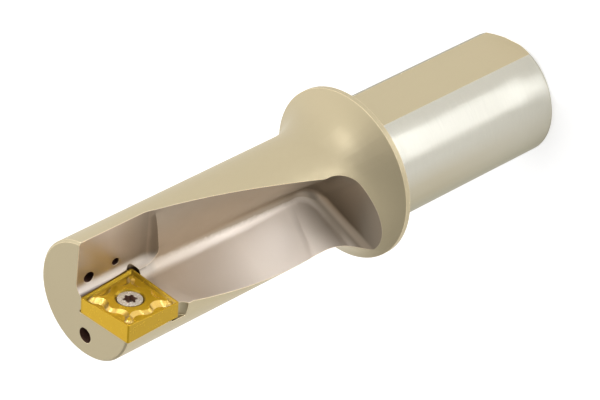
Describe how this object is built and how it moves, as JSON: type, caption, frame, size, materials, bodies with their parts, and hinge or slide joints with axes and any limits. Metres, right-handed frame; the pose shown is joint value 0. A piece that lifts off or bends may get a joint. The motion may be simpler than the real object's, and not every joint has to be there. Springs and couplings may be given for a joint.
{
  "type": "indexable drill",
  "caption": "Short indexable drill with a parallel shank and clamping flat, a flanged shoulder, one helical flute and a screwed-on square cutting insert.",
  "frame": {"origin": "centre of the shank's end face", "axes": "+Z along the drill's axis from the shank end to the cutting end; +Y the way the shank flat and the insert's rake face look; +X the side that the insert's outer corner is on"},
  "size_m": [0.044, 0.044, 0.1423],
  "materials": {
    "nickel_steel": "satin champagne nickel, ground bright on the shank",
    "gold_coating": "glossy gold titanium nitride coating",
    "screw_steel": "satin bright steel"
  },
  "bodies": {
    "root": {"drill_body": "nickel_steel", "cutting_insert": "gold_coating", "insert_screw": "screw_steel"}
  },
  "joints": []
}
